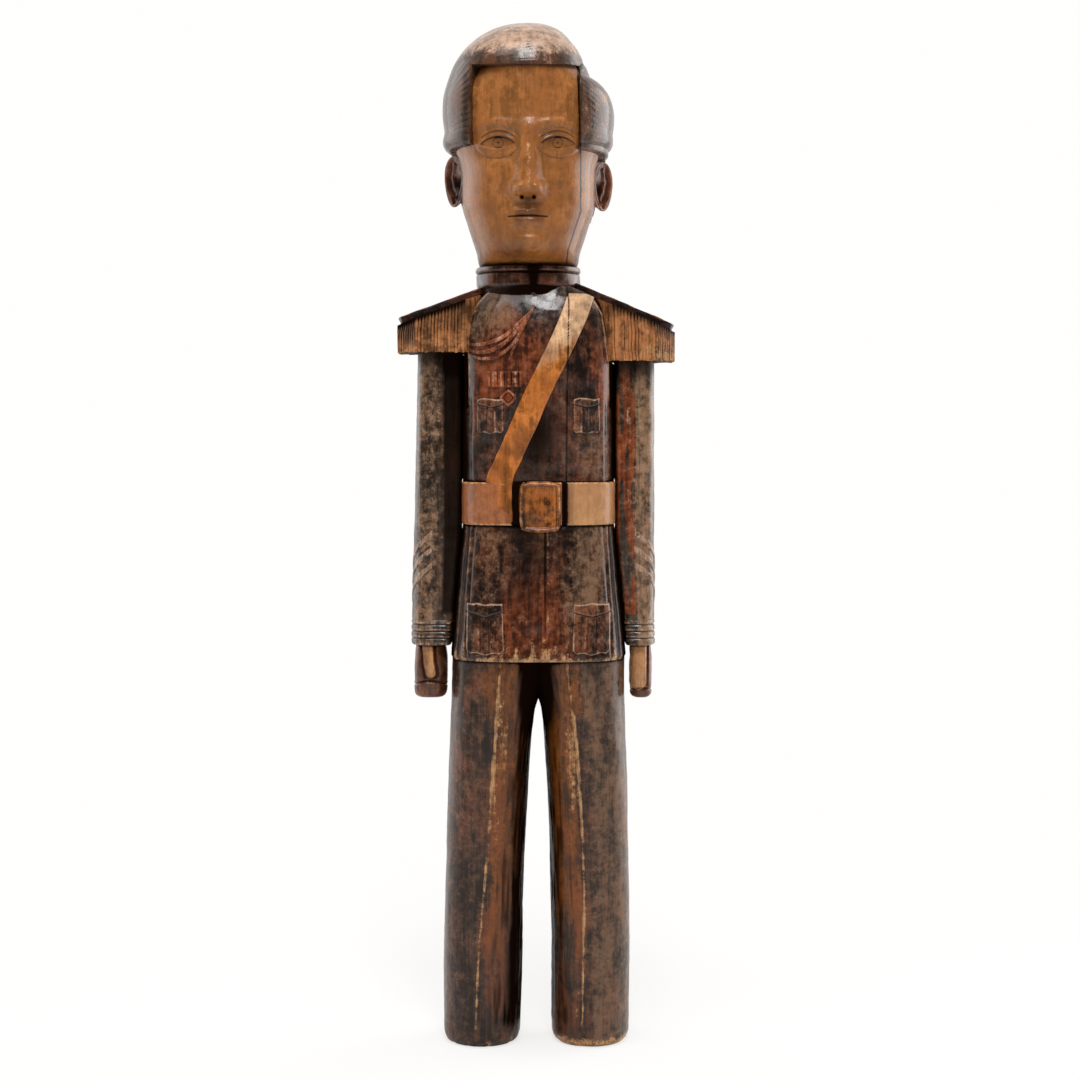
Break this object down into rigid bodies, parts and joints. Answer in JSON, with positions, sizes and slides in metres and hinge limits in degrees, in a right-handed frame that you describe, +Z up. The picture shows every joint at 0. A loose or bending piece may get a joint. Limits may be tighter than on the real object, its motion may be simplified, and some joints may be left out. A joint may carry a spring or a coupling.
{
  "type": "toy soldier figure",
  "caption": "Standing carved wooden toy soldier in officer's tunic with fringed epaulettes; both arms swing at the shoulders.",
  "frame": {"origin": "on the floor under the middle of the figure, between the soles", "axes": "+Z up through the head; the figure faces -Y; its own left arm is on +X"},
  "size_m": [0.1378, 0.0948, 0.508],
  "materials": {
    "dark_stained_wood": "carved, stained dark brown and varnished",
    "sleeve_stained_wood": "carved, stained grey-brown and varnished",
    "hand_wood": "carved, light stain, varnished",
    "fringe_wood": "grooved, reddish brown stain, worn varnish",
    "board_wood": "carved, stained nearly black, worn along the edges",
    "buckle_wood": "carved, tan stain, varnished",
    "ear_wood": "carved, dark brown stain, varnished",
    "raw_wood": "turned dowel, unfinished"
  },
  "bodies": {
    "figure": {"upper_body": "dark_stained_wood", "lower_body": "dark_stained_wood", "waist_dowel": "raw_wood", "right_shoulder_dowel": "raw_wood", "left_shoulder_dowel": "raw_wood", "right_fringe_cap": "fringe_wood", "left_fringe_cap": "fringe_wood", "right_shoulder_board": "board_wood", "left_shoulder_board": "board_wood", "shoulder_board_pegs": "raw_wood", "belt_buckle": "buckle_wood", "buckle_pegs": "raw_wood", "right_ear": "ear_wood", "left_ear": "ear_wood"},
    "right_arm_body": {"right_arm": "sleeve_stained_wood", "right_hand": "hand_wood"},
    "left_arm_body": {"left_arm": "sleeve_stained_wood", "left_hand": "hand_wood"}
  },
  "joints": [
    {"name": "right_shoulder", "type": "hinge", "parent": "figure", "child": "right_arm_body", "pos_m": [-0.049, 0, 0.3505], "axis": [1, 0, 0], "range_deg": [-22, 22]},
    {"name": "left_shoulder", "type": "hinge", "parent": "figure", "child": "left_arm_body", "pos_m": [0.05, 0, 0.3463], "axis": [1, 0, 0], "range_deg": [-22, 22]}
  ]
}
